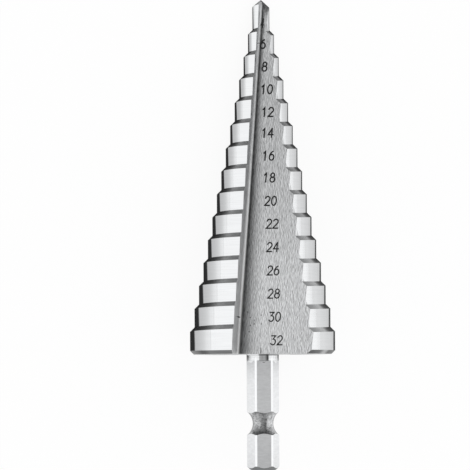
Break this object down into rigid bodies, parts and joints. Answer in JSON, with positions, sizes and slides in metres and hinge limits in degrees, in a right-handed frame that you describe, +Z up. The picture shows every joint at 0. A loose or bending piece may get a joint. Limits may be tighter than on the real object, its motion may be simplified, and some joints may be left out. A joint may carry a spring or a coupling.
{
  "type": "step drill",
  "caption": "Conical step drill bit with straight flutes, relieved cutting steps, a split point and a grooved hexagonal quick-change shank.",
  "frame": {"origin": "on the floor, under the middle of the lying drill's bounding box", "axes": "+Z up from the floor; the drill lies on its side with its point towards +Y and its shank towards -Y"},
  "size_m": [0.0318, 0.1024, 0.027],
  "materials": {
    "steel": "ground tool steel: polished lands and shoulders, brushed flutes and a satin shank"
  },
  "bodies": {
    "root": {"step_drill": "steel"}
  },
  "joints": []
}
